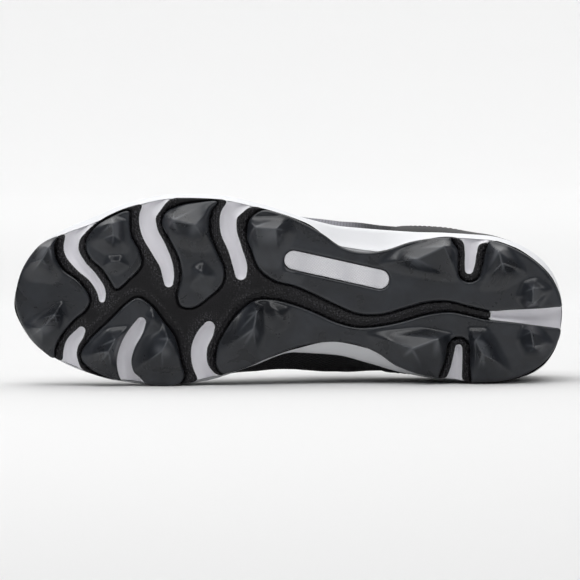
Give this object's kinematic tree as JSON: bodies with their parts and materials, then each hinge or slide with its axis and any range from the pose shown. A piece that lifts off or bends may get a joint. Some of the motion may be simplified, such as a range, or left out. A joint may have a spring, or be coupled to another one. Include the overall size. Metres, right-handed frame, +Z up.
{
  "type": "baseball cleat",
  "caption": "Low-cut baseball cleat for the left foot, lying on its inner side with its moulded, studded sole facing the viewer.",
  "frame": {"origin": "bottom centre of the shoe's bounding box, on the floor it lies on", "axes": "+X towards the heel, -Y the way the sole faces, +Z up, towards the outer side of the shoe"},
  "size_m": [0.301, 0.121, 0.1037],
  "materials": {
    "moulded_grey": "satin",
    "textured_black": "matte",
    "inlay_light": "matte",
    "white_foam": "matte",
    "upper_black": "matte",
    "overlay_black": "satin",
    "lining_grey": "matte",
    "lace_black": "matte"
  },
  "bodies": {
    "root": {"toe_pod": "moulded_grey", "lateral_toe_side_pod": "moulded_grey", "lateral_ball_pod": "moulded_grey", "medial_ball_pod": "moulded_grey", "medial_shank_pod": "moulded_grey", "lateral_shank_pod": "moulded_grey", "web_plate": "textured_black", "shank_inlay": "inlay_light", "midsole": "white_foam", "upper": "upper_black", "toe_cap": "overlay_black", "heel_counter": "overlay_black", "eyestay": "overlay_black", "tongue": "lining_grey", "insole": "lining_grey", "laces": "lace_black"}
  },
  "joints": []
}
